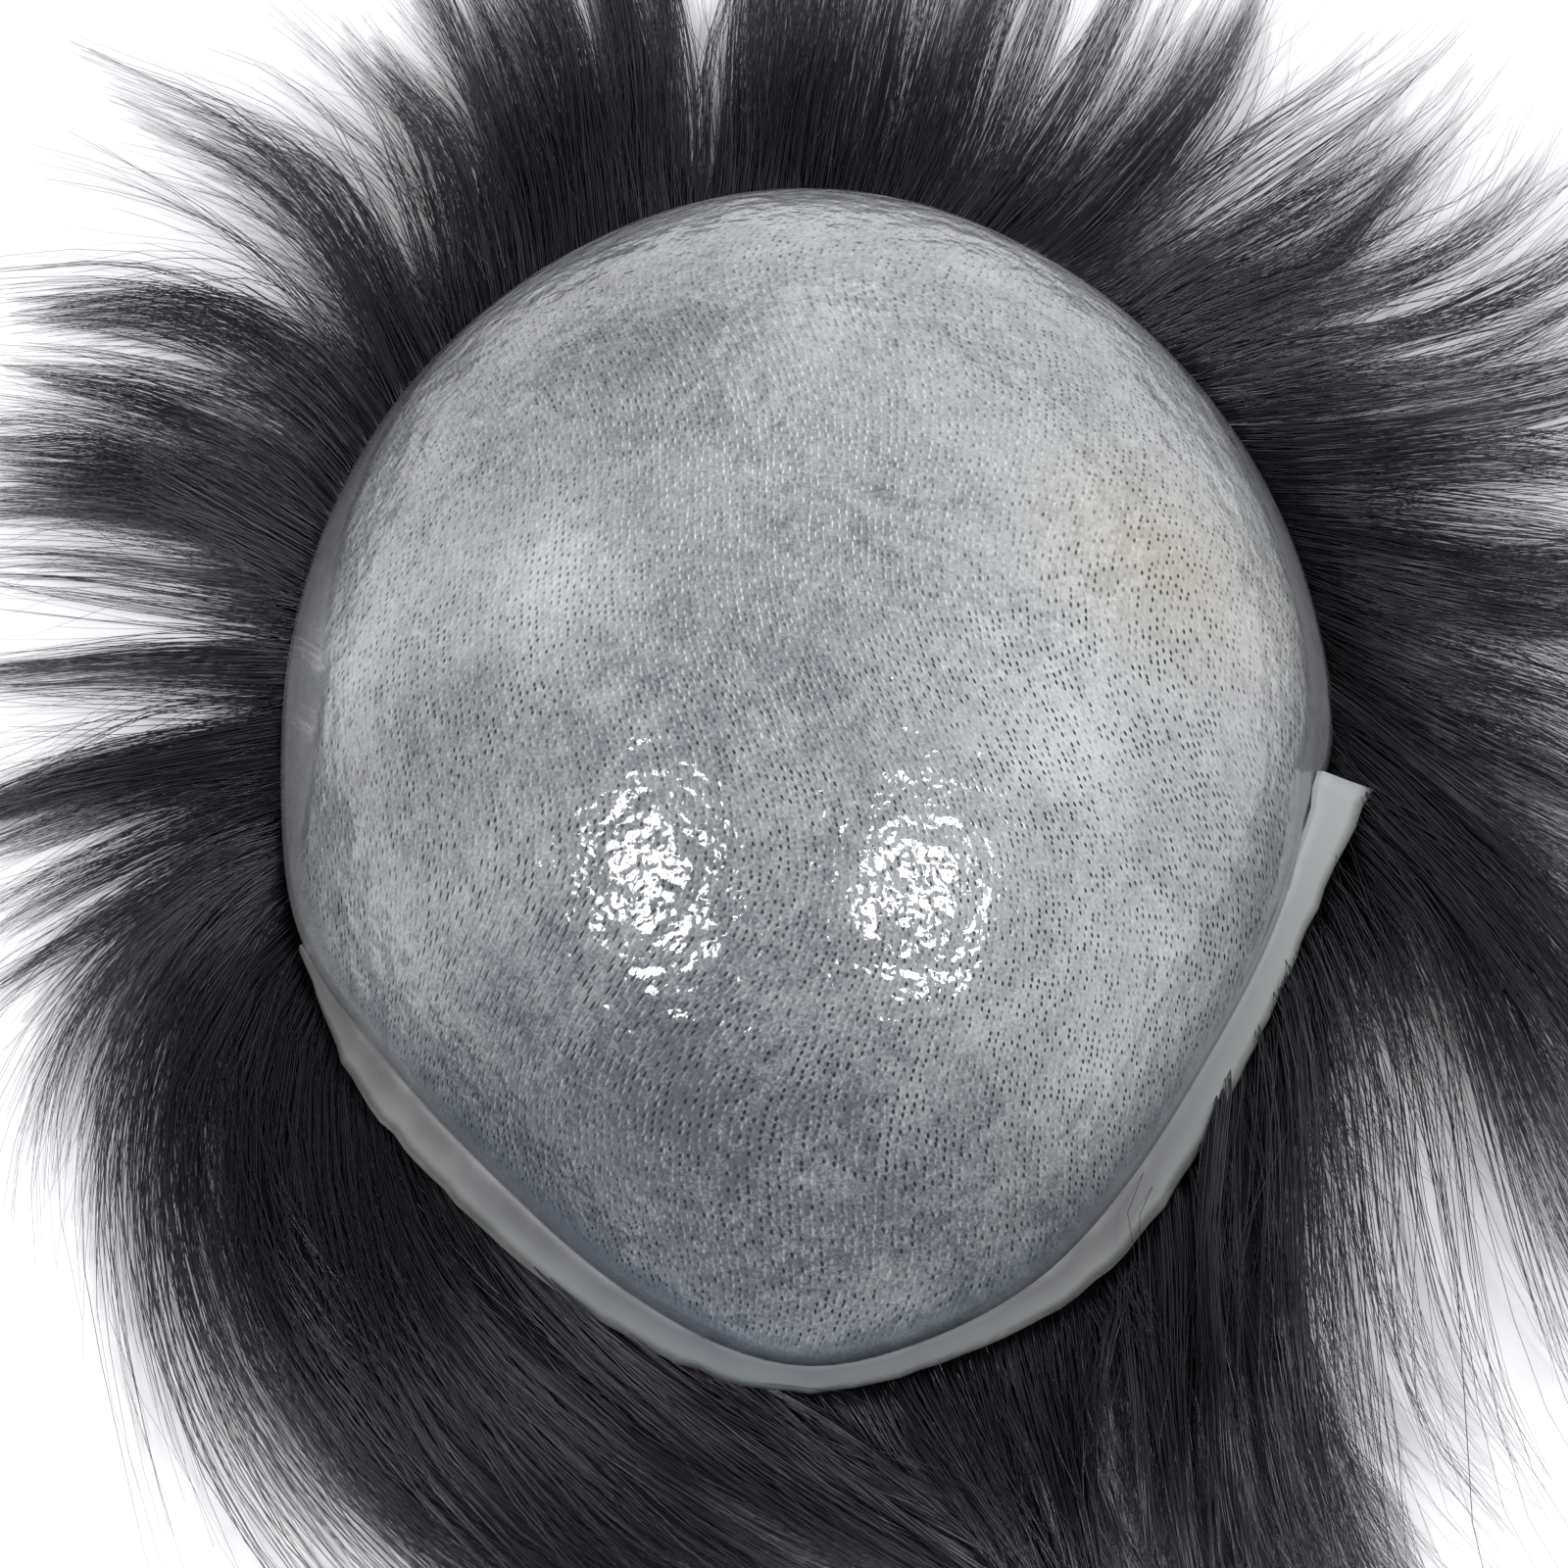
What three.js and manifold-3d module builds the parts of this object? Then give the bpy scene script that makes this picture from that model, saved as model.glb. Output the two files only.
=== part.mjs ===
// A thin-skin hairpiece that lies inside out: the scalp side of its film is the dome on top,
// and the hair, knotted through the film all over, runs out from under the cut edge and lies
// fanned out on the surface. Millimetres, +Z up. The far end (+Y) is the front hairline.

import * as THREE from 'three';
import { LoftGeometry } from 'three/addons/geometries/LoftGeometry.js';
import { mergeVertices } from 'three/addons/utils/BufferGeometryUtils.js';
import Module from 'manifold-3d';

const wasm = await Module();
wasm.setup();

// Driving sizes
const rimWidth = 154; // side to side across the cut edge
const rimLength = 191; // front to back across the cut edge
const domeHeight = 58; // crown above the cut edge
const rimLift = 9; // cut edge above the surface, on the hair under it
const filmWall = 1; // moulded film
const edgeWidth = 6.5; // clear strip round the back, past the film
const edgeWall = 1; // clear strip
const cornerReach = 5; // how far the strip's free corner stands past the cut edge
const cornerLift = 1.2; // how far that corner curls up
const hairLength = 150; // a strand, straightened
const hairLoft = 20; // highest arch of the hair above its root
const rootDepth = 3.5; // layer of hair against the inside of the film
const lockWidth = 15; // one lock at its root
const tipWidth = 2; // one lock at its tip
const tipDepth = 1; // thickness of a lock at its tip
const footInside = 8; // hair on the surface inside the rim
const footOutside = 14; // hair on the surface outside the rim, before it parts into locks
const fitGap = 0.3; // clearance between neighbouring pieces

// The hair fills what is left between the surface and the cut edge
const hairDepth = rimLift - Math.max(filmWall, edgeWall) - 4 * fitGap;

// Shape of the dome and how finely it is cut
const edgeSlope = 74; // degrees, steepness of the film at the cut edge
const ringSteps = 48; // stations round the rim for the film, its strip and the hair's backing
const stepDegrees = 360 / ringSteps;
const rimPoints = 720; // points on the outline of the cut edge that are looked up
const filmRows = 10; // rings from crown to edge
const crownRows = 6; // rings, out of those, that the crown hair covers
const whorlTurns = 6; // swirling ridges in the crown hair
const whorlTwist = 5; // radians that a ridge turns on its way out
const whorlDepth = 0.25; // share of the root depth that a ridge adds or takes away
const lockDegrees = 8.5; // one lock for about this much of the rim
const lockSteps = 6; // sections from a lock's root to its tip
const lockTaper = 2; // power by which a lock narrows from root to tip
const lockRise = 0.5; // share of the arch that the underside of a raised lock follows
const footDrop = 0.7; // share of the hair's depth left at the outer end of its foot
const strandParts = 4; // parts that each step along a strand is summed in
const slopeStep = 0.01; // share of the way out over which the dome's slope is taken
const arcSteps = 12; // parts that the length over the dome is summed in

// Cross-section of a lock: sideways as a share of its width, and up as a share of its depth
const lockRows = [
  { side: -0.5, height: 0 },
  { side: 0.5, height: 0 },
  { side: 0.36, height: 0.75 },
  { side: 0, height: 1 },
  { side: -0.36, height: 0.75 },
];

// Plan outline of the cut edge, as shares of half its length (along, from the back)
// and of half its width (left and right of the middle line)
const rimRows = [
  { along: -0.97, left: 0.15, right: 0.145 },
  { along: -0.86, left: 0.375, right: 0.42 },
  { along: -0.72, left: 0.56, right: 0.575 },
  { along: -0.52, left: 0.785, right: 0.73 },
  { along: -0.3, left: 0.94, right: 0.88 },
  { along: 0, left: 0.99, right: 0.99 },
  { along: 0.2, left: 0.985, right: 0.98 },
  { along: 0.45, left: 0.91, right: 0.9 },
  { along: 0.68, left: 0.755, right: 0.74 },
  { along: 0.86, left: 0.52, right: 0.51 },
  { along: 0.97, left: 0.24, right: 0.25 },
];

// Soft folds of the film: where their middle is (degrees round the rim and share of the way
// from crown to edge), how far they spread, and their height as a share of the root depth
const foldRows = [
  { name: 'left valley', azimuth: 199, spread: 17, out: 0.85, width: 0.06, height: -0.4 },
  { name: 'left ridge', azimuth: 203, spread: 20, out: 0.95, width: 0.06, height: 0.3 },
  { name: 'left shoulder', azimuth: 192, spread: 26, out: 0.72, width: 0.08, height: 0.3 },
  { name: 'right ridge', azimuth: -15, spread: 22, out: 0.78, width: 0.07, height: 0.35 },
  { name: 'right valley', azimuth: -12, spread: 20, out: 0.9, width: 0.06, height: -0.3 },
  { name: 'back dent', azimuth: -90, spread: 22, out: 0.78, width: 0.1, height: -0.35 },
  { name: 'back lip', azimuth: -82, spread: 30, out: 0.93, width: 0.06, height: 0.3 },
  { name: 'front pucker', azimuth: 72, spread: 12, out: 0.92, width: 0.06, height: -0.25 },
];

// Clear strip, from where it runs out on the left round the back to its free corner on the
// right: its width as a share of the edge width, and how far it flares past the dome as a
// share of the corner's reach
const stripRows = [
  { azimuth: -157.5, width: 0.35, reach: 0 },
  { azimuth: -150, width: 0.7, reach: 0.15 },
  { azimuth: -142.5, width: 1.1, reach: 0.7 },
  { azimuth: -120, width: 1.15, reach: 0.85 },
  { azimuth: -105, width: 1.05, reach: 0.55 },
  { azimuth: -90, width: 0.8, reach: 0.2 },
  { azimuth: -75, width: 0.85, reach: 0.35 },
  { azimuth: -60, width: 1.1, reach: 0.9 },
  { azimuth: -45, width: 1.05, reach: 0.85 },
  { azimuth: -30, width: 0.95, reach: 0.55 },
  { azimuth: -15, width: 0.9, reach: 0.45 },
  { azimuth: -7.5, width: 1.05, reach: 1 },
];

// How the hair lies, by where it leaves the rim: its heading there, half way and at the tip
// (degrees from +X), its run past the rim as a share of the hair length, and the height of
// its arch as a share of the hair loft
const flowRows = [
  { azimuth: 0, start: -48, middle: -72, tip: -60, run: 0.72, arch: 1 },
  { azimuth: 8, start: -48, middle: -58, tip: -40, run: 0.64, arch: 0.95 },
  { azimuth: 16, start: -46, middle: -34, tip: -18, run: 0.52, arch: 0.8 },
  { azimuth: 32, start: -28, middle: -8, tip: 6, run: 0.48, arch: 0.7 },
  { azimuth: 45, start: -2, middle: 12, tip: 38, run: 0.5, arch: 0.7 },
  { azimuth: 60, start: 20, middle: 36, tip: 62, run: 0.53, arch: 0.6 },
  { azimuth: 75, start: 48, middle: 62, tip: 76, run: 0.5, arch: 0.5 },
  { azimuth: 90, start: 80, middle: 84, tip: 84, run: 0.47, arch: 0.5 },
  { azimuth: 105, start: 93, middle: 97, tip: 104, run: 0.45, arch: 0.5 },
  { azimuth: 120, start: 96, middle: 106, tip: 124, run: 0.46, arch: 0.5 },
  { azimuth: 130, start: 102, middle: 118, tip: 145, run: 0.5, arch: 0.5 },
  { azimuth: 140, start: 113, middle: 138, tip: 176, run: 0.5, arch: 0.5 },
  { azimuth: 150, start: 128, middle: 156, tip: 184, run: 0.46, arch: 0.45 },
  { azimuth: 160, start: 158, middle: 165, tip: 170, run: 0.41, arch: 0.4 },
  { azimuth: 170, start: 181, middle: 184, tip: 186, run: 0.37, arch: 0.4 },
  { azimuth: 180, start: 192, middle: 197, tip: 202, run: 0.36, arch: 0.4 },
  { azimuth: 188, start: 204, middle: 218, tip: 238, run: 0.44, arch: 0.45 },
  { azimuth: 196, start: 216, middle: 292, tip: 333, run: 0.9, arch: 0.55 },
  { azimuth: 204, start: 236, middle: 303, tip: 336, run: 0.92, arch: 0.6 },
  { azimuth: 212, start: 256, middle: 309, tip: 336, run: 0.88, arch: 0.6 },
  { azimuth: 222, start: 280, middle: 316, tip: 337, run: 0.82, arch: 0.55 },
  { azimuth: 235, start: 298, middle: 322, tip: 338, run: 0.72, arch: 0.5 },
  { azimuth: 247, start: 308, middle: 327, tip: 338, run: 0.62, arch: 0.45 },
  { azimuth: 260, start: 316, middle: 326, tip: 336, run: 0.5, arch: 0.4 },
  { azimuth: 272, start: 304, middle: 310, tip: 325, run: 0.44, arch: 0.4 },
  { azimuth: 285, start: 288, middle: 290, tip: 315, run: 0.44, arch: 0.5 },
  { azimuth: 300, start: 282, middle: 276, tip: 316, run: 0.53, arch: 0.7 },
  { azimuth: 315, start: 276, middle: 272, tip: 322, run: 0.67, arch: 0.9 },
  { azimuth: 330, start: 280, middle: 268, tip: 326, run: 0.73, arch: 1 },
  { azimuth: 345, start: 300, middle: 272, tip: 320, run: 0.75, arch: 1 },
];

// Sections of hair, by the stretch of the rim that each one leaves from
const sectionRows = [
  { name: 'hair_front', from: 60, to: 120 },
  { name: 'hair_front_left', from: 120, to: 165 },
  { name: 'hair_left', from: 165, to: 195 },
  { name: 'hair_back_left', from: 195, to: 240 },
  { name: 'hair_back', from: 240, to: 300 },
  { name: 'hair_back_right', from: 300, to: 352.5 },
  { name: 'hair_front_right', from: 352.5, to: 420 },
];

const up = new THREE.Vector3(0, 0, 1);
const radians = THREE.MathUtils.degToRad;
const wholeTurn = (degrees) => THREE.MathUtils.euclideanModulo(degrees, 360);
const halfTurn = (degrees) => wholeTurn(degrees + 180) - 180;

// Value of a named column at an azimuth, between the rows of a table that goes once round
function columnAt(rows, column, azimuth, relative = false) {
  const turn = wholeTurn(azimuth);
  let next = rows.findIndex((row) => row.azimuth > turn);
  if (next < 0) next = rows.length;
  const before = rows[(next - 1 + rows.length) % rows.length];
  const after = rows[next % rows.length];
  const span = wholeTurn(after.azimuth - before.azimuth);
  const share = wholeTurn(turn - before.azimuth) / span;
  const own = (row) => (relative ? halfTurn(row[column] - row.azimuth) : row[column]);
  const value = THREE.MathUtils.lerp(own(before), own(after), share);
  return relative ? value + azimuth : value;
}

// The cut edge in plan, and its distance from the middle at an azimuth
function rimCurve() {
  const at = (across, along) =>
    new THREE.Vector3((across * rimWidth) / 2, (along * rimLength) / 2, 0);
  const points = [
    at(0, -1),
    ...rimRows.map((row) => at(row.right, row.along)),
    at(0, 1),
    ...rimRows.toReversed().map((row) => at(-row.left, row.along)),
  ];
  return new THREE.CatmullRomCurve3(points, true, 'centripetal');
}

const rimSamples = rimCurve()
  .getPoints(rimPoints)
  .slice(1)
  .map(({ x, y }) => ({
    azimuth: wholeTurn(THREE.MathUtils.radToDeg(Math.atan2(y, x))),
    radius: Math.hypot(x, y),
  }))
  .sort((a, b) => a.azimuth - b.azimuth);

// Distance from the middle to the dome's own outline: round near the crown, and the cut
// edge's shape at the rim
function ringRadius(azimuth, out) {
  const turn = radians(azimuth);
  const across = (2 * Math.cos(turn)) / rimWidth;
  const along = (2 * Math.sin(turn)) / rimLength;
  const round = 1 / Math.hypot(across, along);
  return THREE.MathUtils.lerp(round, columnAt(rimSamples, 'radius', azimuth), out ** 2);
}

// Height of all folds at a place on the film
function foldHeight(azimuth, out) {
  return foldRows.reduce((sum, fold) => {
    const along = (halfTurn(azimuth - fold.azimuth) / fold.spread) ** 2;
    const across = ((out - fold.out) / fold.width) ** 2;
    return sum + fold.height * rootDepth * Math.exp(-along - across);
  }, 0);
}

// A place on the dome: azimuth, share of the way out from crown to cut edge
function domePlace(azimuth, out) {
  const steep = radians(edgeSlope);
  const tilt = out * steep;
  const reach = (ringRadius(azimuth, out) * Math.sin(tilt)) / Math.sin(steep);
  const height = (domeHeight * (Math.cos(tilt) - Math.cos(steep))) / (1 - Math.cos(steep));
  const turn = radians(azimuth);
  return new THREE.Vector3(reach * Math.cos(turn), reach * Math.sin(turn), rimLift + height);
}

// The dome's outward normal there, and the place with its folds, sunk by a depth
function domeNormal(azimuth, out) {
  const inner = domePlace(azimuth, out - slopeStep);
  const outer = domePlace(azimuth, out + slopeStep);
  const left = domePlace(azimuth + 1, out);
  const right = domePlace(azimuth - 1, out);
  return outer.sub(inner).cross(left.sub(right)).normalize();
}

function domePoint(azimuth, out, depth = 0) {
  const normal = domeNormal(azimuth, out);
  return domePlace(azimuth, out).addScaledVector(normal, foldHeight(azimuth, out) - depth);
}

// Length over the dome from crown to cut edge
function domeArc(azimuth) {
  let length = 0;
  let last = domePlace(azimuth, 0);
  for (let step = 1; step <= arcSteps; step += 1) {
    const next = domePlace(azimuth, step / arcSteps);
    length += next.distanceTo(last);
    last = next;
  }
  return length;
}

// Where the clear strip is, and where the film ends
const stripFrom = stripRows[0].azimuth;
const stripTo = stripRows.at(-1).azimuth;

function stripColumn(column, azimuth) {
  const turn = halfTurn(azimuth);
  if (turn < stripFrom || turn > stripTo) return 0;
  const next = Math.max(1, stripRows.findIndex((row) => row.azimuth >= turn));
  const [before, after] = [stripRows[next - 1], stripRows[next]];
  const share = (turn - before.azimuth) / (after.azimuth - before.azimuth);
  return THREE.MathUtils.lerp(before[column], after[column], share);
}

const stripWidth = (azimuth) => edgeWidth * stripColumn('width', azimuth);
const stripReach = (azimuth) => cornerReach * stripColumn('reach', azimuth);
const filmEnd = (azimuth) => 1 - stripWidth(azimuth) / domeArc(azimuth);

// Where a strand lies in plan: steps along its run from the rim, with the heading at each
function strandPlan(azimuth, steps) {
  const start = columnAt(flowRows, 'start', azimuth, true);
  const middle = columnAt(flowRows, 'middle', azimuth, true);
  const tip = columnAt(flowRows, 'tip', azimuth, true);
  const run = hairLength * columnAt(flowRows, 'run', azimuth);
  const parts = steps * strandParts;
  const place = domePlace(azimuth, 1).setZ(0);
  const heading = (share) =>
    radians(
      start * (1 - share) * (1 - 2 * share) +
        middle * 4 * share * (1 - share) +
        tip * share * (2 * share - 1),
    );
  const along = [{ place: place.clone(), heading: heading(0) }];
  for (let part = 1; part <= parts; part += 1) {
    const turn = heading((part - 0.5) / parts);
    place.add(new THREE.Vector3(Math.cos(turn), Math.sin(turn), 0).multiplyScalar(run / parts));
    if (part % strandParts === 0) {
      along.push({ place: place.clone(), heading: heading(part / parts) });
    }
  }
  return along;
}

// A closed geometry as a solid to join or cut, without the faces that close up at a pole
function solidFrom(geometry) {
  const bare = new THREE.BufferGeometry().copy(geometry);
  bare.deleteAttribute('normal');
  bare.deleteAttribute('uv');
  const welded = mergeVertices(bare);
  const corners = Array.from(welded.index.array);
  const faces = [];
  for (let first = 0; first < corners.length; first += 3) {
    const face = corners.slice(first, first + 3);
    if (new Set(face).size === 3) faces.push(...face);
  }
  return new wasm.Manifold(
    new wasm.Mesh({
      numProp: 3,
      vertProperties: new Float32Array(welded.attributes.position.array),
      triVerts: new Uint32Array(faces),
    }),
  );
}

function geometryFrom(solid) {
  const mesh = solid.getMesh();
  const geometry = new THREE.BufferGeometry();
  geometry.setAttribute('position', new THREE.BufferAttribute(mesh.vertProperties, 3));
  geometry.setIndex(new THREE.BufferAttribute(mesh.triVerts, 1));
  geometry.computeVertexNormals();
  return geometry;
}

// Rings round the dome from the crown out to its end, sunk by a depth, as lofting sections
function domeRings(steps, rows, depthAt, endAt) {
  return Array.from({ length: rows + 1 }, (_, row) =>
    Array.from({ length: steps }, (_unused, step) => {
      const azimuth = (-360 * step) / steps;
      const share = row / rows;
      if (row === 0) return domePlace(0, 0).addScaledVector(up, -depthAt(0, 0));
      return domePoint(azimuth, share * endAt(azimuth), depthAt(azimuth, share));
    }),
  );
}

function domeShell(steps, rows, topDepth, underDepth, endAt) {
  const top = domeRings(steps, rows, topDepth, endAt);
  const under = domeRings(steps, rows, underDepth, endAt);
  return new LoftGeometry([...top, ...under.reverse()]);
}

// The film that the hair is knotted through
function skinBase() {
  return domeShell(ringSteps, filmRows, () => 0, () => filmWall, filmEnd);
}

// Clear strip welded to the film's edge round the back, with its free corner on the right
function clearEdge() {
  const steps = Math.round((stripTo - stripFrom) / stepDegrees);
  const sections = Array.from({ length: steps + 1 }, (_, step) => {
    const azimuth = stripFrom + ((stripTo - stripFrom) * step) / steps;
    const start = filmEnd(azimuth) + fitGap / domeArc(azimuth);
    const out = domePlace(azimuth, 1).setZ(0).normalize();
    const flare = out.multiplyScalar(stripReach(azimuth));
    flare.z = cornerLift * stripColumn('reach', azimuth);
    return [
      domePoint(azimuth, start),
      domePoint(azimuth, 1).add(flare),
      domePoint(azimuth, 1, edgeWall).add(flare),
      domePoint(azimuth, start, edgeWall),
    ];
  });
  return new LoftGeometry(sections, { capStart: true, capEnd: true });
}

// Crown hair: a layer against the inside of the film, combed out from the crown in a whorl
function hairCrown() {
  const clear = filmWall + fitGap;
  const ridge = (azimuth, share) =>
    1 + whorlDepth * Math.sin(whorlTurns * radians(azimuth) + whorlTwist * share);
  return domeShell(
    ringSteps,
    crownRows,
    () => clear,
    (azimuth, share) => clear + rootDepth * ridge(azimuth, share),
    (azimuth) => (filmEnd(azimuth) * crownRows) / filmRows,
  );
}

// Backing of one hair section: the roots against the film, turning out under the cut edge
// and down to the surface
function hairBacking(from, to) {
  const steps = Math.ceil((to - from) / stepDegrees);
  const clear = filmWall + fitGap;
  const sections = Array.from({ length: steps + 1 }, (_, step) => {
    const azimuth = from + ((to - from) * step) / steps;
    const ring = (row) => (filmEnd(azimuth) * row) / filmRows;
    const top = ring(crownRows) + fitGap / domeArc(azimuth);
    const half = ring((crownRows + filmRows) / 2);
    const rim = domePlace(azimuth, 1).setZ(0);
    const out = rim.clone().normalize();
    const past = (distance, height) =>
      rim.clone().addScaledVector(out, distance).addScaledVector(up, height);
    const reach = stripReach(azimuth);
    return [
      domePoint(azimuth, top, clear),
      domePoint(azimuth, ring(crownRows + 1), clear),
      domePoint(azimuth, half, clear),
      domePoint(azimuth, ring(filmRows - 1), clear),
      domePoint(azimuth, ring(filmRows), clear),
      domePoint(azimuth, 1, clear).addScaledVector(up, -fitGap),
      past(reach + fitGap, hairDepth + fitGap),
      past(reach + footOutside / 2, rimLift),
      past(footOutside, hairDepth * footDrop),
      past(footOutside, 0),
      past(-footInside, 0),
      domePoint(azimuth, half, clear + rootDepth),
      domePoint(azimuth, top, clear + rootDepth),
    ];
  });
  return solidFrom(new LoftGeometry(sections, { capStart: true, capEnd: true }));
}

// One lock of hair, flat where it lies and pointed at its tip; a raised lock arches over
function hairLock(azimuth, width, raised) {
  const arch = raised ? hairLoft * columnAt(flowRows, 'arch', azimuth) : 0;
  const plan = strandPlan(azimuth, lockSteps);
  const sections = plan.map(({ place, heading }, step) => {
    const share = step / lockSteps;
    const across = THREE.MathUtils.lerp(width, tipWidth, share ** lockTaper);
    const deep = THREE.MathUtils.lerp(hairDepth, tipDepth, share);
    const low = arch * Math.sin(Math.PI * share) * lockRise;
    const left = new THREE.Vector3(-Math.sin(heading), Math.cos(heading), 0);
    const at = (side, height) =>
      place.clone().addScaledVector(left, side * across).setZ(low + height * deep);
    return lockRows.map((row) => at(row.side, row.height));
  });
  return solidFrom(new LoftGeometry(sections, { capStart: true, capEnd: true }));
}

// Ground that one hair section may take, bounded by the hair that leaves at its two ends
function sectionCell(from, to) {
  const middle = (from + to) / 2;
  const edge = (azimuth) => {
    const turn = Math.sign(middle - azimuth);
    const line = strandPlan(azimuth, lockSteps).map(({ place, heading }) => {
      const aside = heading + (turn * Math.PI) / 2;
      return new THREE.Vector2(
        place.x + Math.cos(aside) * (fitGap / 2),
        place.y + Math.sin(aside) * (fitGap / 2),
      );
    });
    const end = line.at(-1);
    line.push(end.clone().multiplyScalar(1 + hairLength / end.length()));
    return line;
  };
  const inner = new THREE.Vector2(Math.cos(radians(middle)), Math.sin(radians(middle)));
  const outline = [inner.multiplyScalar(fitGap), ...edge(from), ...edge(to).reverse()];
  const depth = 2 * (rimLift + domeHeight);
  const geometry = new THREE.ExtrudeGeometry(new THREE.Shape(outline), {
    depth,
    bevelEnabled: false,
  });
  geometry.translate(0, 0, -depth / 2);
  return solidFrom(geometry);
}

// One section of hair: backing and locks joined, kept to its own ground
function hairSection({ from, to }) {
  const span = to - from;
  const count = Math.max(2, Math.round(span / lockDegrees));
  let solid = hairBacking(from, to);
  for (let lock = 0; lock < count; lock += 1) {
    const azimuth = from + (span * (lock + 0.5)) / count;
    solid = solid.add(hairLock(azimuth, lockWidth, false));
  }
  for (let lock = 1; lock < count; lock += 2) {
    const azimuth = from + (span * lock) / count;
    solid = solid.add(hairLock(azimuth, lockWidth, true));
  }
  const kept = solid.intersect(sectionCell(from, to)).decompose();
  kept.sort((a, b) => b.volume() - a.volume());
  return geometryFrom(kept[0]);
}

// Finishes
const film = { color: 0xa4a9ae, roughness: 0.22, metalness: 0 };
const clear = { color: 0x9a9b98, roughness: 0.3, metalness: 0 };
const hair = { color: 0x171519, roughness: 0.38, metalness: 0 };

function piece(name, geometry, finish) {
  const mesh = new THREE.Mesh(geometry, new THREE.MeshStandardMaterial(finish));
  mesh.name = name;
  return mesh;
}

function plainPiece(name, geometry, finish) {
  return piece(name, geometryFrom(solidFrom(geometry)), finish);
}

const hairpiece = new THREE.Group();
hairpiece.add(plainPiece('skin_base', skinBase(), film));
hairpiece.add(plainPiece('clear_edge', clearEdge(), clear));
hairpiece.add(plainPiece('hair_crown', hairCrown(), hair));
for (const row of sectionRows) hairpiece.add(piece(row.name, hairSection(row), hair));

// The origin is on the surface, under the middle of the whole piece
const middle = new THREE.Box3().setFromObject(hairpiece).getCenter(new THREE.Vector3());
hairpiece.position.set(-middle.x, -middle.y, 0);

export default hairpiece;
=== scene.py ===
"""A thin-skin hairpiece of dark straight hair, lying inside out on a pale surface.

The scalp side of its film is the dome on top. The hair, knotted through the film all over,
lines the inside, comes out under the cut edge and lies fanned out round it. Metres, +Z up.
The far end (+Y) is the front hairline.
"""

import math

import bmesh
import bpy
import numpy as np
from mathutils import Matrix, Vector
from mathutils.bvhtree import BVHTree


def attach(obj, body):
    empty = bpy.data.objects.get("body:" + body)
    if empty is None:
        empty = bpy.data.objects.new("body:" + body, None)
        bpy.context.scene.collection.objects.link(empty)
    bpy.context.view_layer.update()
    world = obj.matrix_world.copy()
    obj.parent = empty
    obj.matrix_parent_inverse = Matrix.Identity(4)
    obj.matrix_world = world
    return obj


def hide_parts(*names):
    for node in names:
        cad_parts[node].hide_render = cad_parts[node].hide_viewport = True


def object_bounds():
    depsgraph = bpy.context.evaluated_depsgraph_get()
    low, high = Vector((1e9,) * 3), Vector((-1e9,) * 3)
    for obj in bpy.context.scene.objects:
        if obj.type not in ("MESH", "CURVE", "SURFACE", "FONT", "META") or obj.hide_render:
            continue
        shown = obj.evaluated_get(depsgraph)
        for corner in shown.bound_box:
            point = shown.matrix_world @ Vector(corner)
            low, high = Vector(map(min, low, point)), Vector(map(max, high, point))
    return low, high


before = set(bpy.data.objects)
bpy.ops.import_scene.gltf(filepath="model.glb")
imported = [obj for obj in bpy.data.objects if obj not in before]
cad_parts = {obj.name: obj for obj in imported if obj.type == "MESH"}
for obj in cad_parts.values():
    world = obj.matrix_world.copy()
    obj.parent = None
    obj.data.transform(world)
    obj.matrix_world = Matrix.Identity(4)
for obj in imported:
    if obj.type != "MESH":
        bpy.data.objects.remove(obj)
cad_box = [list(corner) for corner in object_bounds()]
mm = 0.001


# ---------------------------------------------------------------------------------------
# Film. The dome that every hair is knotted through: clear polyurethane brushed over a
# mould in thin coats, cut by hand, scalp side up here. Dark slits mark where each knot
# goes through, with a small bump beside it painted pale as its highlight, in rows that swirl over
# the crown.
knot_spacing = 1.22 * mm  # from knot to knot, by the rows that can be counted
rim_height = 9 * mm  # cut edge over the surface, where it lies on the hair
rim_layer = 4 * mm  # what counts as the rim, above its lowest points
edge_layer = 1 * mm  # what counts as the cut edge itself
rim_step = 7.5  # degrees between the stations round the rim
rim_window = 2.5  # degrees either side of a station
rim_slope = 70  # degrees between the film and the surface at the cut edge
pucker_size = (7 * mm, 1.1 * mm)  # along and across the edge

crown_point = max((v.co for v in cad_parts["skin_base"].data.vertices), key=lambda co: co.z)
film_middle = np.array(crown_point[:2])  # the crown is over the middle of the rim


def merged_copy(node_name, name):
    """A closed copy of a CAD node, its loose triangles merged into quads where they lie flat."""
    shape = bmesh.new()
    shape.from_mesh(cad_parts[node_name].data)
    bmesh.ops.remove_doubles(shape, verts=shape.verts, dist=0.005 * mm)
    bmesh.ops.join_triangles(
        shape, faces=shape.faces, angle_face_threshold=math.radians(25),
        angle_shape_threshold=math.radians(40), cmp_seam=False, cmp_sharp=False,
        cmp_uvs=False, cmp_vcols=False, cmp_materials=False,
    )
    bmesh.ops.recalc_face_normals(shape, faces=shape.faces)
    mesh = bpy.data.meshes.new(name)
    shape.to_mesh(mesh)
    shape.free()
    piece = bpy.data.objects.new(name, mesh)
    bpy.context.scene.collection.objects.link(piece)
    return piece


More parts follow.
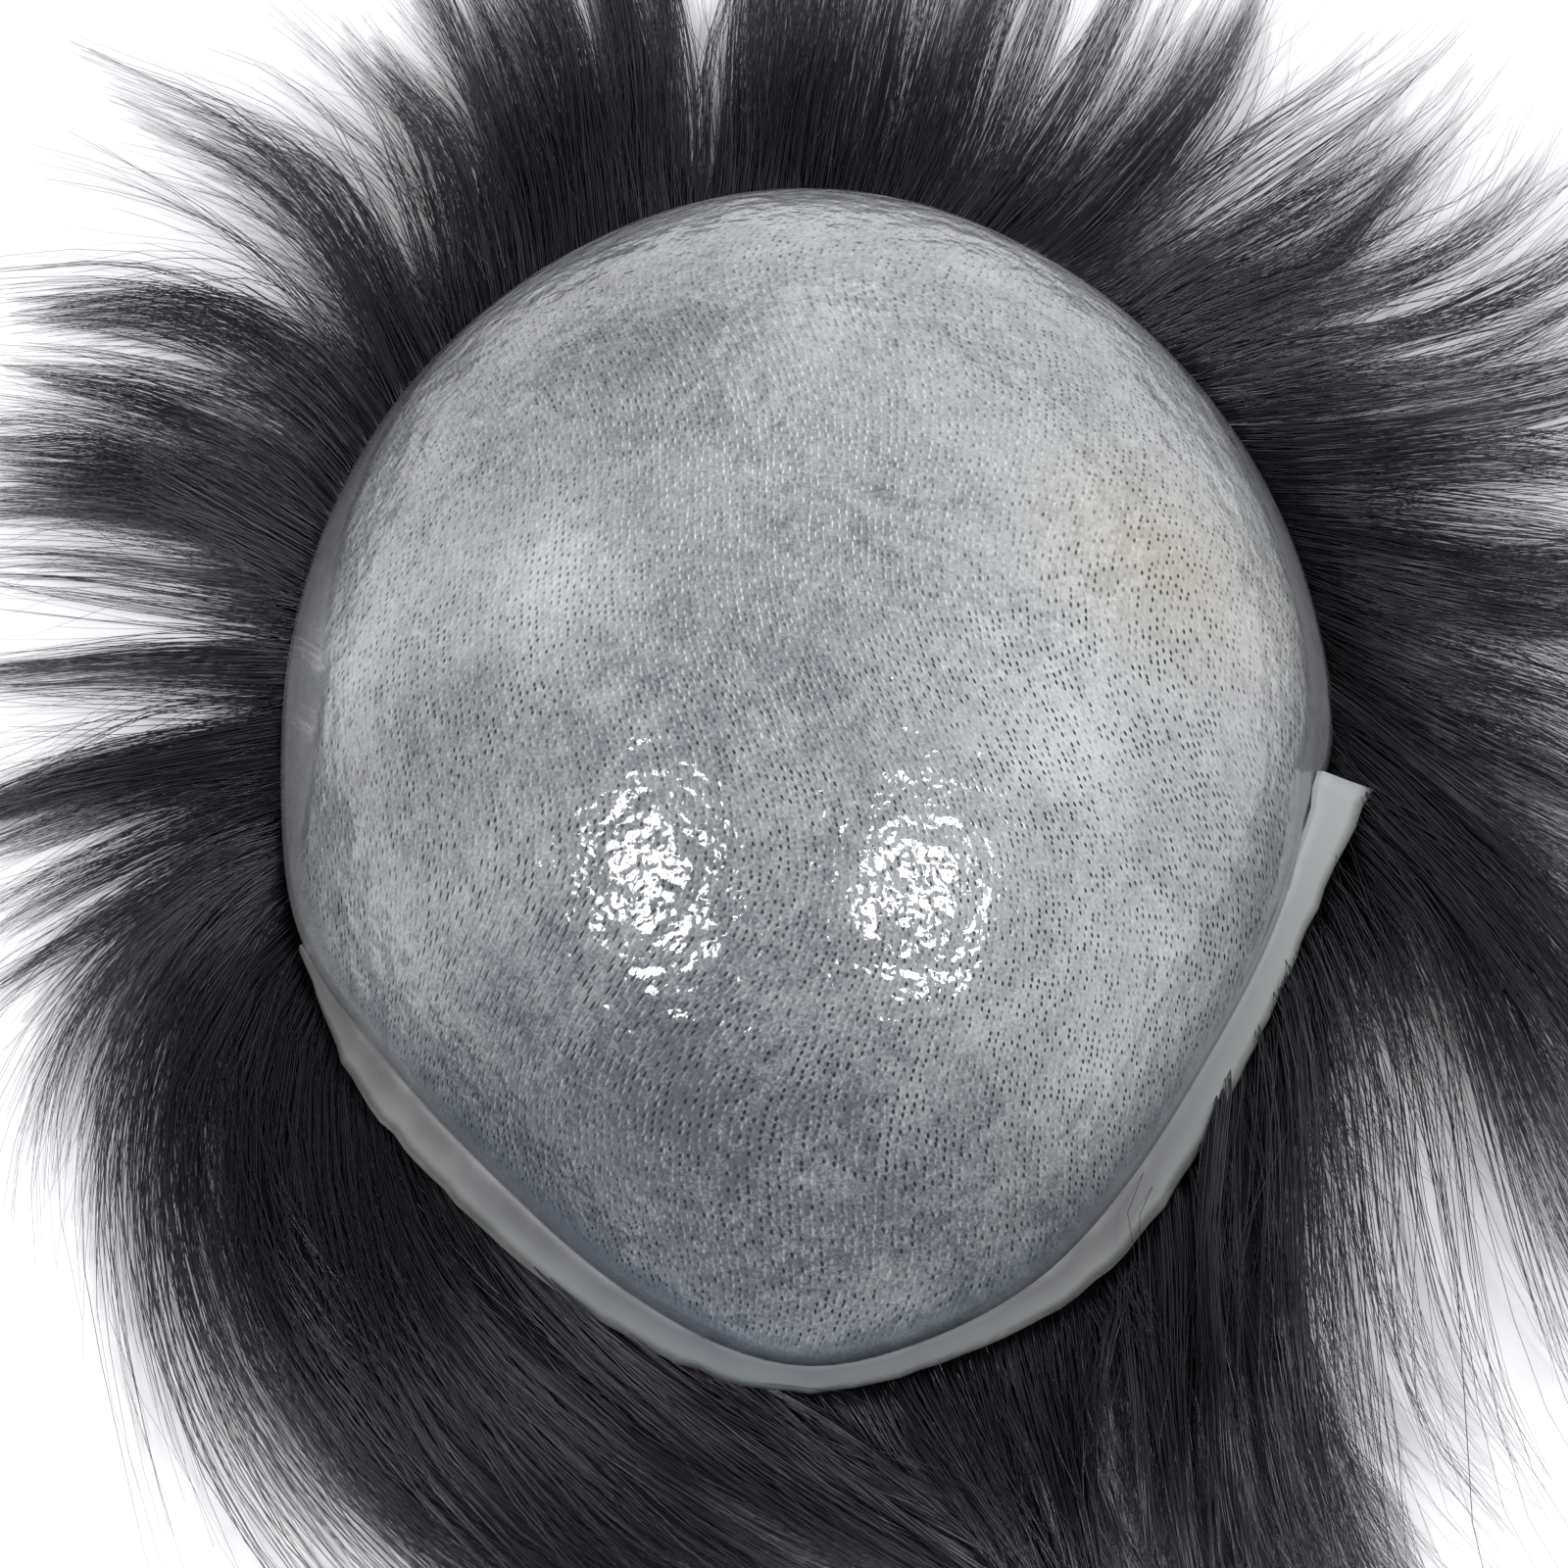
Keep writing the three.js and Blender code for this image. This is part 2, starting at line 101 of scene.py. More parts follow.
def subdivided(piece, levels, crease_angle=None):
    """Smooths a piece by subdivision, keeping edges sharper than crease_angle, and applies it."""
    if crease_angle is not None:
        edges = bmesh.new()
        edges.from_mesh(piece.data)
        crease = edges.edges.layers.float.new("crease_edge")
        for edge in edges.edges:
            if len(edge.link_faces) == 2 and edge.calc_face_angle() > math.radians(crease_angle):
                edge[crease] = 1.0
        edges.to_mesh(piece.data)
        edges.free()
    smooth = piece.modifiers.new("smooth", "SUBSURF")
    smooth.levels = smooth.render_levels = levels
    return applied(piece)


def applied(piece):
    """Applies a piece's modifiers to its mesh."""
    seen = piece.evaluated_get(bpy.context.evaluated_depsgraph_get())
    mesh = bpy.data.meshes.new_from_object(seen)
    piece.modifiers.clear()
    piece.data = mesh
    mesh.polygons.foreach_set("use_smooth", np.ones(len(mesh.polygons), bool))
    return piece


def points_of(mesh):
    """A mesh's vertices as rows of x, y and z."""
    places = np.empty(len(mesh.vertices) * 3, np.float32)
    mesh.vertices.foreach_get("co", places)
    return places.reshape(-1, 3).astype(float)


def set_points(mesh, places):
    """Moves a mesh's vertices to these rows of x, y and z."""
    mesh.vertices.foreach_set("co", places.astype(np.float32).ravel())
    mesh.update()


def add_value(mesh, name, values):
    """Keeps one number per vertex for a material to read."""
    layer = mesh.attributes.new(name, "FLOAT", "POINT")
    layer.data.foreach_set("value", np.asarray(values, np.float32))


def hexed(text):
    """An sRGB hex colour as linear RGBA."""
    parts = [int(text[i:i + 2], 16) / 255 for i in (1, 3, 5)]
    return [p / 12.92 if p <= 0.04045 else ((p + 0.055) / 1.055) ** 2.4 for p in parts] + [1]


def add_node(tree, kind, settings=None, inputs=None):
    """Adds a node with its settings; an input is a value or the socket that feeds it."""
    node = tree.nodes.new(kind)
    for key, value in (settings or {}).items():
        setattr(node, key, value)
    for key, value in (inputs or {}).items():
        if isinstance(value, bpy.types.NodeSocket):
            tree.links.new(value, node.inputs[key])
        else:
            node.inputs[key].default_value = value
    return node


def new_material(name):
    """A material with one Principled shader: the material, its node tree and the shader."""
    material = bpy.data.materials.new(name)
    material.use_nodes = True
    tree = material.node_tree
    tree.nodes.clear()
    shader = add_node(tree, "ShaderNodeBsdfPrincipled")
    add_node(tree, "ShaderNodeOutputMaterial", inputs={"Surface": shader.outputs["BSDF"]})
    return material, tree, shader


def half_turn(degrees):
    """An angle brought to between -180 and 180 degrees."""
    return (degrees + 180) % 360 - 180


def around_middle(places):
    """Where points lie in the plan from the film's middle: offsets, distance out and azimuth."""
    flat = places[:, :2] - film_middle
    azimuth = np.degrees(np.arctan2(flat[:, 1], flat[:, 0]))
    return flat, np.linalg.norm(flat, axis=1), azimuth


# Rim radius by azimuth, from the film's and the strip's outermost points.
rim_azimuths = np.arange(-180, 180, rim_step)
rim_cloud = np.vstack([points_of(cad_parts[n].data) for n in ("skin_base", "clear_edge")])
rim_cloud = rim_cloud[rim_cloud[:, 2] < rim_height + rim_layer]
_, rim_reach, rim_turns = around_middle(rim_cloud)
rim_radii = np.array([
    rim_reach[np.abs(half_turn(rim_turns - turn)) < rim_window].max() for turn in rim_azimuths
])


def rim_radius(azimuth):
    """How far the rim is from the film's middle at these azimuths."""
    return np.interp(azimuth, rim_azimuths, rim_radii, period=360)


film = subdivided(merged_copy("skin_base", "film"), 2, crease_angle=60)
film_points = points_of(film.data)
flat, out, azimuth = around_middle(film_points)

# The film's own lower edge: how far out and how high it is, by azimuth
film_cloud = points_of(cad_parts["skin_base"].data)
_, cloud_reach, cloud_turns = around_middle(film_cloud)
edge_reach, edge_height = [], []
for turn in rim_azimuths:
    near = np.abs(half_turn(cloud_turns - turn)) < rim_window
    lowest = near & (film_cloud[:, 2] < film_cloud[near, 2].min() + edge_layer)
    edge_reach.append(cloud_reach[lowest].max())
    edge_height.append(film_cloud[lowest, 2].min())
own_reach = np.interp(azimuth, rim_azimuths, edge_reach, period=360)
own_height = np.interp(azimuth, rim_azimuths, edge_height, period=360)
edge_distance = np.hypot(own_reach - out, film_points[:, 2] - own_height)

# Knot rows: the film laid flat from the crown outwards, with the rows' swirls added (mm)
ball = own_reach / math.sin(math.radians(rim_slope))
spread = ball * np.arcsin(np.clip(out / ball, 0, 0.999)) / np.maximum(out, 1e-6)
row_x, row_y = (flat * spread[:, None] / mm).T
swirl_x = 7 * np.sin(row_y / 27 + 1.2 * np.sin(row_x / 33)) + 3 * np.sin(row_y / 11 + 2)
swirl_y = 8 * np.sin(row_x / 24 + 1.1 * np.sin(row_y / 29 + 1)) + 2.5 * np.sin(row_x / 12)
swirl = np.stack([row_x + swirl_x, row_y + swirl_y], axis=1) * mm / knot_spacing
along_rim = np.stack([
    np.radians(azimuth) * own_reach / pucker_size[0], edge_distance / pucker_size[1],
], axis=1)
loops = np.empty(len(film.data.loops), np.int64)
film.data.loops.foreach_get("vertex_index", loops)
for uv_name, places in (("knot_rows", swirl), ("rim_run", along_rim)):
    layer = film.data.uv_layers.new(name=uv_name)
    layer.data.foreach_set("uv", places[loops].astype(np.float32).ravel())
add_value(film.data, "edge_distance", edge_distance / mm)

# Knots stop short of the edge: widely at the left and the right, hardly at the front and
# where the strip is welded on (azimuth, mm)
margin_rows = np.array([
    (0, 12), (30, 14), (60, 9), (90, 5), (120, 9), (150, 15), (175, 19), (186, 15), (195, 6),
    (215, 2.5), (325, 2.5), (345, 5),
])
margin = np.interp(azimuth, margin_rows[:, 0], margin_rows[:, 1], period=360)
add_value(film.data, "from_margin", edge_distance / mm - margin)

from_crown_x, from_crown_y = (flat / mm).T


def soft_place(place_x, place_y, radius, amount):
    """A round place on the film that fades out from its middle (mm from the crown)."""
    away = np.hypot(from_crown_x - place_x, from_crown_y - place_y)
    return amount * np.exp(-((away / radius) ** 2))


# How pale the film is drawn, from 0 to 1: partly how far it stands off the dark hair under it
# (0 wet against it), partly painted light, a painted sheen rising towards the front and the
# right, less at the back, with a few paler and a few darker places
paleness_and_sheen_rows = np.array([
    # y, stand-off and painted sheen
    (-90, 0.1), (-80, 0.03), (-68, 0.04), (-52, 0.22), (-34, 0.38), (-15, 0.44), (15, 0.48),
    (45, 0.52), (70, 0.56),
])
paler_and_darker_places = [
    # x, y, radius, stand-off and painted sheen
    (-37, 3, 9, 0.4), (-40, 12, 20, 0.22), (34, -20, 11, 0.36), (46, -4, 20, 0.25),
    (56, 14, 22, 0.2), (50, -46, 16, 0.32), (-62, 4, 12, 0.28), (-54, -38, 14, 0.2),
    (42, -64, 10, 0.14), (-3, 60, 16, 0.12), (-4, -12, 16, -0.08), (14, 22, 16, -0.1),
    (-50, -16, 10, -0.12), (-28, 46, 24, -0.14), (34, -58, 26, 0.26), (0, -74, 22, 0.06),
]
stand_off_and_painted_light = np.interp(from_crown_y, paleness_and_sheen_rows[:, 0], paleness_and_sheen_rows[:, 1])
for place in paler_and_darker_places:
    stand_off_and_painted_light += soft_place(*place)
# the left side is drawn darker: painted shade
stand_off_and_painted_light -= np.interp(from_crown_x, [-60, -20, 20], [0.1, 0.08, 0])
add_value(film.data, "stand_off_and_painted_light", np.clip(stand_off_and_painted_light, 0, 1))

# A warm patch at the right, the back with its bluish band of painted reflection, and the puckers at
# the front right
add_value(film.data, "warmth", soft_place(49, 12, 15, 0.55))
add_value(film.data, "back_side", np.interp(from_crown_y, [-60, -35], [1, 0]))
pucker = np.exp(-(((azimuth - 60) / 22) ** 2) - ((edge_distance / mm - 7) / 7) ** 2)
add_value(film.data, "pucker", pucker)

# How plainly the slits and the pale loops show, the loops being a painted highlight on each
# knot's bump: slits most at the back and the right, where the film lies on dark hair, and
# loops most just in front of the crown
slit_rows = np.array([
    # y, share
    (-90, 1.0), (-60, 1.0), (-30, 0.9), (0, 0.7), (30, 0.7), (62, 0.65), (85, 0.3),
])
slit_show = np.interp(from_crown_y, slit_rows[:, 0], slit_rows[:, 1])
slit_show += soft_place(48, -20, 28, 0.3) - soft_place(-4, 12, 26, 0.35)
add_value(film.data, "slit_show", np.clip(slit_show, 0, 1))
add_value(film.data, "loop_show", 0.28 + soft_place(-6, 12, 34, 0.65))
most_lean = 0.5  # radians, 70 mm to either side of the crown
add_value(film.data, "lean", -from_crown_x / 70 * most_lean)

# Polyurethane film, brushed on in coats and left glossy: grey because the dark hair under
# it shows through, paler where it stands off the hair and with a painted sheen towards the
# far side and the right, darker on the left as painted shade, with a wavy wet-looking surface.
film_finish, tree, shader = new_material("polyurethane_film_glossy")
place = add_node(tree, "ShaderNodeTexCoord").outputs["Object"]
row_place = add_node(tree, "ShaderNodeUVMap", {"uv_map": "knot_rows"}).outputs["UV"]
rim_place = add_node(tree, "ShaderNodeUVMap", {"uv_map": "rim_run"}).outputs["UV"]
values = {
    name: add_node(tree, "ShaderNodeAttribute", {"attribute_name": name}).outputs["Fac"]
    for name in (
        "edge_distance", "from_margin", "stand_off_and_painted_light", "warmth", "back_side", "pucker",
        "slit_show", "loop_show", "lean",
    )
}

# Each hair goes in through a small dark slit, and beside it the film's bump over its loop is
# painted as a pale oval, a painted highlight: ovals in the cells of a loose grid, leaning the
# way the hair was knotted
cells = add_node(
    tree, "ShaderNodeTexVoronoi", {"voronoi_dimensions": "2D"},
    {"Vector": row_place, "Scale": 1.0, "Randomness": 0.5},
)
from_knot = add_node(
    tree, "ShaderNodeVectorMath", {"operation": "SUBTRACT"},
    {0: row_place, 1: cells.outputs["Position"]},
).outputs[0]
leaning = add_node(
    tree, "ShaderNodeVectorRotate", {"rotation_type": "Z_AXIS"},
    {"Vector": from_knot, "Angle": values["lean"]},
).outputs[0]
cell_values = add_node(tree, "ShaderNodeSeparateColor", inputs={"Color": cells.outputs["Color"]})
knotted = add_node(
    tree, "ShaderNodeMapRange", {"interpolation_type": "SMOOTHSTEP"},
    {"Value": values["from_margin"], "From Min": -1.0, "From Max": 4.0},
).outputs["Result"]
spot_rows = [
    # name, middle across and along, half width, half length (shares of the spacing),
    # softness, cell's own random value, its share that stays faint, patch size (mm)
    ("slit", 0.0, 0.0, 0.16, 0.32, 0.4, "Red", 0.3, 13),
    ("loop", 0.4, -0.04, 0.12, 0.38, 0.6, "Green", 0.25, 8),
]
spots = {}
for name, across, along, half_width, half_length, soft, own, faint, patch in spot_rows:
    moved = add_node(
        tree, "ShaderNodeVectorMath", {"operation": "SUBTRACT"},
        {0: leaning, 1: (across, along, 0)},
    )
    scaled = add_node(
        tree, "ShaderNodeVectorMath", {"operation": "DIVIDE"},
        {0: moved.outputs[0], 1: (half_width, half_length, 1)},
    )
    length = add_node(tree, "ShaderNodeVectorMath", {"operation": "LENGTH"}, {0: scaled.outputs[0]})
    amount = add_node(
        tree, "ShaderNodeMapRange", {"interpolation_type": "SMOOTHSTEP"},
        {"Value": length.outputs["Value"], "From Min": 1 + soft, "From Max": 1 - soft},
    ).outputs["Result"]
    patches = add_node(
        tree, "ShaderNodeTexNoise",
        inputs={"Vector": place, "Scale": 1 / (patch * mm), "Detail": 3.0},
    ).outputs["Fac"]
    patchy = add_node(
        tree, "ShaderNodeMapRange", {"interpolation_type": "SMOOTHSTEP"},
        {"Value": patches, "From Min": 0.34, "From Max": 0.56, "To Min": 0.6, "To Max": 1.0},
    ).outputs["Result"]
    uneven = add_node(
        tree, "ShaderNodeMapRange",
        inputs={
            "Value": cell_values.outputs[own], "From Min": faint, "From Max": 0.8, "To Min": 0.15,
        },
    ).outputs["Result"]
    for share in (knotted, values[name + "_show"], patchy, uneven):
        amount = add_node(
            tree, "ShaderNodeMath", {"operation": "MULTIPLY"}, {0: amount, 1: share},
        ).outputs[0]
    spots[name] = amount

# Coats of film and the hair roots under it make a fine pale and dark mottle, drawn a little
# coarser than it is so that it shows, over faint clouds
mottle_rows = [
    # size (mm), swing
    (0.45, 0.17), (2.4, 0.1), (10, 0.1),
]
# paleness: stand-off from the hair together with painted sheen and painted shade
paleness = values["stand_off_and_painted_light"]
for size, swing in mottle_rows:
    mottle = add_node(
        tree, "ShaderNodeTexNoise",
        inputs={"Vector": place, "Scale": 1 / (size * mm), "Detail": 2.0},
    ).outputs["Fac"]
    swung = add_node(
        tree, "ShaderNodeMapRange",
        inputs={
            "Value": mottle, "From Min": 0.3, "From Max": 0.7, "To Min": -swing, "To Max": swing,
        },
    ).outputs["Result"]
    paleness = add_node(
        tree, "ShaderNodeMath", {"operation": "ADD"}, {0: paleness, 1: swung},
    ).outputs[0]
colour = add_node(
    tree, "ShaderNodeMix", {"data_type": "RGBA"},
    {"Factor": paleness, "A": hexed("#50545c"), "B": hexed("#c6c9cb")},
).outputs["Result"]

# Knot-free margin at the front and the sides, a bluish band along the back edge where the
# strip is welded on, painted as a reflection of the bright surround at the grazing edge, and
# fine brownish puckers along the front right edge
front_side = add_node(
    tree, "ShaderNodeMath", {"operation": "SUBTRACT"}, {0: 1.0, 1: values["back_side"]},
).outputs[0]
puckers = add_node(
    tree, "ShaderNodeTexNoise", inputs={"Vector": rim_place, "Scale": 1.0, "Detail": 3.0},
).outputs["Fac"]
tint_rows = [
    # value, from, to, most, where it holds, colour
    (values["from_margin"], 4.0, -2.0, 0.55, front_side, "#6c6d72"),
    # painted reflection: a paler bluish band near the back edge
    (values["edge_distance"], 11.0, 4.0, 0.55, values["back_side"], "#6b7681"),
    (puckers, 0.5, 0.62, 0.55, values["pucker"], "#756e66"),
    (values["edge_distance"], 3.0, 1.2, 0.55, front_side, "#a2a4a2"),
    (values["edge_distance"], 0.7, 0.3, 0.6, 1.0, "#b4b6b2"),
    (values["warmth"], 0.0, 1.0, 1.0, 1.0, "#b2a894"),
    # the pale loops: a painted highlight on each knot's bump
    (spots["loop"], 0.0, 1.0, 0.85, 1.0, "#eceef0"),
    (spots["slit"], 0.0, 0.8, 1.0, 1.0, "#15161b"),
]
for value, low, high, most, holds, tint in tint_rows:
    amount = add_node(
        tree, "ShaderNodeMapRange",
        inputs={"Value": value, "From Min": low, "From Max": high, "To Max": most},
    ).outputs["Result"]
    held = add_node(
        tree, "ShaderNodeMath", {"operation": "MULTIPLY"}, {0: amount, 1: holds},
    ).outputs[0]
    colour = add_node(
        tree, "ShaderNodeMix", {"data_type": "RGBA"},
        {"Factor": held, "A": colour, "B": hexed(tint)},
    ).outputs["Result"]

# The brushed coats dried in small waves between the knots, and each loop stands up a little
wave_size, wave_depth = 4.3 * mm, 0.8 * mm
loop_height = 0.04 * mm
waves = add_node(
    tree, "ShaderNodeTexNoise", inputs={"Vector": place, "Scale": 1 / wave_size, "Detail": 2.5},
).outputs["Fac"]
wave_height = add_node(
    tree, "ShaderNodeMath", {"operation": "MULTIPLY"}, {0: waves, 1: knotted},
).outputs[0]
wave_bump = add_node(
    tree, "ShaderNodeBump", inputs={"Strength": 1.0, "Distance": wave_depth, "Height": wave_height},
)
knot_bump = add_node(
    tree, "ShaderNodeBump",
    inputs={
        "Strength": 1.0, "Distance": loop_height, "Height": spots["loop"],
        "Normal": wave_bump.outputs["Normal"],
    },
)
tree.links.new(colour, shader.inputs["Base Color"])
tree.links.new(knot_bump.outputs["Normal"], shader.inputs["Normal"])
tree.links.new(knot_bump.outputs["Normal"], shader.inputs["Coat Normal"])
shader.inputs["Roughness"].default_value = 0.5
shader.inputs["Specular IOR Level"].default_value = 0.4
shader.inputs["Coat Weight"].default_value = 1.0
shader.inputs["Coat Roughness"].default_value = 0.05
shader.inputs["Coat IOR"].default_value = 1.5
film.data.materials.clear()
film.data.materials.append(film_finish)
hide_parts("skin_base")
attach(film, "root")


# ---------------------------------------------------------------------------------------
# Clear strip. A plain band of thicker polyurethane welded round the film's back edge,
# where the fixing tape goes. It holds no knots. It is cut by hand, with a thin bright
# uneven edge and one free corner that curls up on the right.
nick_depth = 0.11 * mm  # unevenness of the cut
seam_draw = 0.35 * mm  # how far the inner side is drawn in under the weld
corner_reach, corner_lift, corner_turn = 1.5 * mm, 2 * mm, 3.2  # free corner (turn in degrees)

strip = subdivided(merged_copy("clear_edge", "clear_strip"), 2, crease_angle=40)
strip_points = points_of(strip.data)
flat, out, azimuth = around_middle(strip_points)
from_rim = rim_radius(azimuth) - out
inner_side = np.clip(from_rim / (2.5 * mm), 0, 1)
nicks = np.sin(azimuth * 0.9) + np.sin(azimuth * 2.3 + 1) + 0.7 * np.sin(azimuth * 5.1 + 2)
corner = np.interp(azimuth, [-21, -9], [0, 1])
out += nick_depth * nicks - seam_draw * inner_side + corner_reach * corner
turn = np.radians(azimuth + corner_turn * corner)
strip_points[:, 0] = film_middle[0] + out * np.cos(turn)
strip_points[:, 1] = film_middle[1] + out * np.sin(turn)
strip_points[:, 2] += corner_lift * corner
set_points(strip.data, strip_points)
dull_end = np.interp(azimuth, [-152, -142], [2, 0])  # the narrow left end has no bright edge
add_value(strip.data, "from_edge", from_rim / mm + dull_end)
add_value(strip.data, "turn", azimuth)

# Clear polyurethane sheet, smooth from the roller: brownish grey over the dark hair, paler
# round the right towards the free corner, partly where nothing dark lies close under it and
# partly a painted sheen of the bright surround, and bright where it is cut.
strip_finish, tree, shader = new_material("polyurethane_strip_smooth")
place = add_node(tree, "ShaderNodeTexCoord").outputs["Object"]
values = {
    name: add_node(tree, "ShaderNodeAttribute", {"attribute_name": name}).outputs["Fac"]
    for name in ("from_edge", "turn")
}
clouds = add_node(
    tree, "ShaderNodeTexNoise", inputs={"Vector": place, "Scale": 1 / (9 * mm), "Detail": 2.0},
).outputs["Fac"]
cut = add_node(
    tree, "ShaderNodeTexNoise", inputs={"Vector": place, "Scale": 1 / (4 * mm), "Detail": 3.0},
).outputs["Fac"]
uneven_edge = add_node(
    tree, "ShaderNodeMath", {"operation": "MULTIPLY_ADD"},
    {0: cut, 1: -0.9, 2: values["from_edge"]},
).outputs[0]
tint_rows = [
    # value, from, to, most, colour
    (clouds, 0.35, 0.65, 1.0, "#79787a"),
    (values["turn"], -128.0, -100.0, 0.6, "#6d747c"),
    (values["turn"], -96.0, -64.0, 0.8, "#7b7a7b"),
    # painted sheen: paler round the right side towards the free corner
    (values["turn"], -60.0, -14.0, 1.0, "#b4b8b9"),
    (values["from_edge"], 3.2, 1.6, 0.18, "#b5bdba"),
    (uneven_edge, 0.3, -0.1, 0.55, "#c9c9c5"),
]
colour = hexed("#6b6a6b")
for value, low, high, most, tint in tint_rows:
    amount = add_node(
        tree, "ShaderNodeMapRange",
        inputs={"Value": value, "From Min": low, "From Max": high, "To Max": most},
    ).outputs["Result"]
    colour = add_node(
        tree, "ShaderNodeMix", {"data_type": "RGBA"},
        {"Factor": amount, "A": colour, "B": hexed(tint)},
    ).outputs["Result"]
tree.links.new(colour, shader.inputs["Base Color"])
shader.inputs["Roughness"].default_value = 0.42
shader.inputs["IOR"].default_value = 1.5
shader.inputs["Specular IOR Level"].default_value = 0.35
strip.data.materials.clear()
strip.data.materials.append(strip_finish)
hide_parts("clear_edge")
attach(strip, "root")


# ---------------------------------------------------------------------------------------
# Hair. Straight near-black human hair, about 150 mm long, knotted through the film. It
# leaves under the cut edge in seven stretches and falls where its weight and the last
# comb stroke took it: short fans in front and on the left, a long sweep round the back.
hair_length = 150 * mm
hair_loft = 20 * mm  # highest arch above the root
hair_depth = 6.8 * mm  # hair under the cut edge
root_inset = 5 * mm  # from the rim in to the roots that are drawn
tip_height = 0.3 * mm  # how the tips lie over the surface
lowest_hair = 0.25 * mm
furthest_reach = 14 * mm  # past the box of the plain solids
random = np.random.default_rng(7)

# Heading of the hair (degrees from +X) at the rim, half way and at the tip, by azimuth,
# with its run as a share of the hair length and its arch as a share of the loft
flow_rows = np.array([
    # azimuth, start, middle, tip, run, arch
    (0, -46, -64, -58, 0.72, 1), (8, -46, -52, -38, 0.64, 0.95), (16, -46, -34, -18, 0.52, 0.8),
    (32, -28, -8, 6, 0.48, 0.7), (45, -2, 12, 38, 0.5, 0.7), (60, 20, 36, 62, 0.53, 0.6),
    (75, 48, 62, 76, 0.5, 0.5), (90, 80, 84, 84, 0.47, 0.5), (105, 93, 97, 104, 0.45, 0.5),
    (120, 96, 106, 124, 0.46, 0.5), (130, 102, 118, 145, 0.5, 0.5), (140, 113, 138, 176, 0.5, 0.5),
    (150, 128, 156, 184, 0.46, 0.45), (160, 158, 165, 170, 0.41, 0.4),
    (170, 181, 184, 186, 0.37, 0.4), (180, 192, 197, 202, 0.36, 0.4),
    (188, 204, 218, 238, 0.44, 0.45), (196, 216, 292, 333, 0.9, 0.55),
    (204, 236, 303, 336, 0.92, 0.6), (212, 256, 309, 336, 0.88, 0.6),
    (222, 280, 316, 337, 0.82, 0.55), (235, 298, 322, 338, 0.72, 0.5),
    (247, 308, 327, 338, 0.62, 0.45), (260, 316, 326, 336, 0.5, 0.4),
    (272, 304, 310, 325, 0.44, 0.4), (285, 288, 290, 315, 0.44, 0.5),
    (300, 282, 276, 316, 0.53, 0.7), (315, 276, 272, 322, 0.67, 0.9),
    (330, 280, 268, 326, 0.73, 1), (345, 300, 272, 320, 0.75, 1),
], float)

hair_sections = [
    ("hair_front", 60, 120), ("hair_front_left", 120, 165), ("hair_left", 165, 195),
    ("hair_back_left", 195, 240), ("hair_back", 240, 300), ("hair_back_right", 300, 352.5),
    ("hair_front_right", 352.5, 420),
]


def flow_at(azimuth):
    """Headings at rim, half way and tip in degrees, run in metres and arch in metres."""
    rows = flow_rows[:, 0]
    headings = [
        azimuth + np.interp(azimuth, rows, half_turn(flow_rows[:, c] - rows), period=360)
        for c in (1, 2, 3)
    ]
    run = hair_length * np.interp(azimuth, rows, flow_rows[:, 4], period=360)
    arch = hair_loft * np.interp(azimuth, rows, flow_rows[:, 5], period=360)
    return headings, run, arch


# Hair that leaves at each place round the rim, as a share of the usual, how far its locks
# draw together at the tip, how much they wave (degrees), and their share of the run
fullness_rows = np.array([
    # azimuth, fullness, gather, wave, length
    (0, 1.2, 0.3, 8, 1), (8, 1.8, 0.25, 6, 1), (16, 1.8, 0.25, 5, 1.05), (30, 1.4, 0.2, 5, 1.1),
    (40, 1.4, 0.2, 6, 1.1), (46, 1.8, 0.2, 8, 1.15), (52, 1.8, 0.25, 9, 1.15),
    (57, 1.3, 0.3, 9, 1.05), (61, 0.9, 0.5, 6, 1), (66, 0.4, 0.45, 5, 1), (72, 1.05, 0.4, 4, 1),
    (78, 0.85, 0.35, 4, 1.05), (84, 1.1, 0.3, 4, 1.05), (92, 0.85, 0.35, 4, 1.05),
    (98, 1.1, 0.35, 4, 1.05), (108, 0.85, 0.4, 4, 1.05), (116, 1, 0.4, 5, 1),
    (123, 0.75, 0.35, 6, 1), (130, 0.45, 0.35, 7, 1), (135, 0.6, 0.4, 7, 1),
    (139, 0.3, 0.4, 8, 1), (143, 0.5, 0.5, 8, 1), (147, 0.4, 0.6, 8, 1), (150, 1, 0.5, 6, 1),
    (153, 1.7, 0.45, 4, 1), (156, 1.8, 0.45, 4, 1), (158.5, 1.2, 0.6, 4, 1),
    (161, 0.3, 0.75, 5, 1), (163, 0.25, 0.75, 5, 1), (166, 0.7, 0.75, 5, 1),
    (168, 0.5, 0.65, 5, 1), (170, 0.22, 0.65, 5, 1), (172, 0.28, 0.65, 5, 1),
    (175, 1.2, 0.5, 5, 1), (180, 1.1, 0.4, 5, 1), (184, 1.15, 0.35, 5, 0.95),
    (188, 1.2, 0.2, 5, 0.8), (190, 1.1, 0.15, 5, 0.65), (192, 1, 0.15, 4, 0.85),
    (194, 1.4, 0.15, 4, 1), (196, 1.6, 0.2, 4, 1), (199, 1.5, 0.2, 4, 1), (204, 1.2, 0.2, 4, 1),
    (215, 1, 0.2, 4, 1), (240, 1, 0.25, 4, 1), (275, 1, 0.3, 5, 1), (290, 0.8, 0.4, 7, 1),
    (302, 0.75, 0.4, 9, 1), (312, 0.7, 0.45, 10, 1), (322, 0.7, 0.45, 10, 1),
    (330, 0.6, 0.5, 10, 1), (338, 0.55, 0.5, 10, 1), (343, 0.3, 0.5, 9, 1),
    (351, 0.14, 0.5, 9, 1), (355, 0.5, 0.4, 8, 1),
])


def fullness_at(azimuth):
    """Fullness, gather, wave and length at these azimuths."""
    rows = fullness_rows[:, 0]
    return [np.interp(azimuth, rows, fullness_rows[:, c], period=360) for c in (1, 2, 3, 4)]


